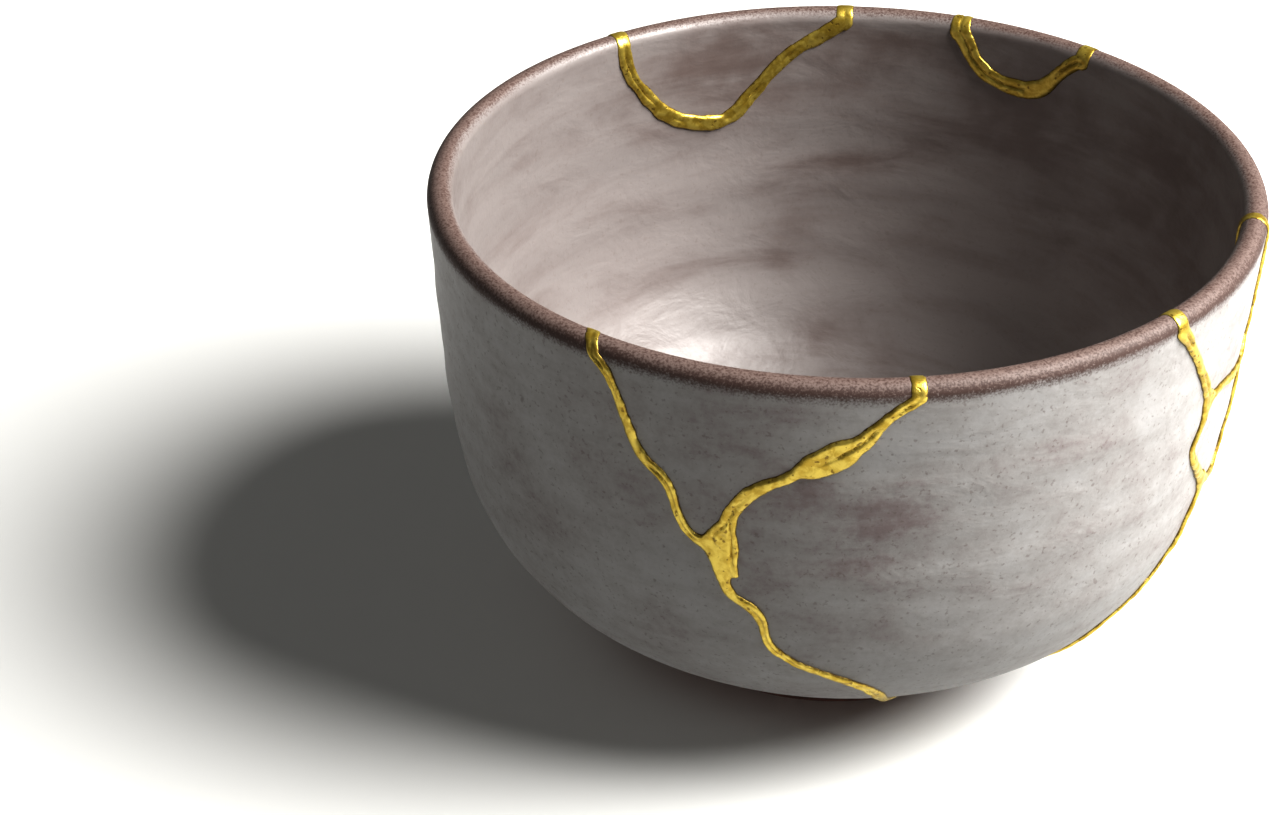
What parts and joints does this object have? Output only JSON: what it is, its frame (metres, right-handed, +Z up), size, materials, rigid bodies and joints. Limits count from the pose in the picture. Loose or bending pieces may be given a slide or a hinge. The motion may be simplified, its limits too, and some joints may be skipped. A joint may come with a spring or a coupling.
{
  "type": "kintsugi tea bowl",
  "caption": "Round stoneware bowl on a turned foot ring, broken and mended with raised gold seams that run over the rim and through the wall, for holding food or tea.",
  "frame": {"origin": "centre of the foot ring's underside, which is the bottom centre of the bowl", "axes": "+Z up along the bowl's turned axis; the gold seam that runs from the rim down to the foot is on the -Y side and the seam over the right rim is towards +X"},
  "size_m": [0.1194, 0.1216, 0.0749],
  "materials": {
    "glazed_clay": "satin milky grey glaze with fine dark specks and mauve-brown cloudy patches, rust-brown where it thins on the rim, bare red-brown clay at the foot",
    "gold_lacquer": "raised lacquer dusted with gold powder, softly polished"
  },
  "bodies": {
    "root": {"bowl_body": "glazed_clay", "sherd_front": "glazed_clay", "sherd_front_right": "glazed_clay", "sherd_right_rim": "glazed_clay", "sherd_right_small": "glazed_clay", "sherd_back_left": "glazed_clay", "sherd_back_right": "glazed_clay", "gold_front_seams": "gold_lacquer", "gold_back_left_seam": "gold_lacquer", "gold_back_right_seam": "gold_lacquer"}
  },
  "joints": []
}
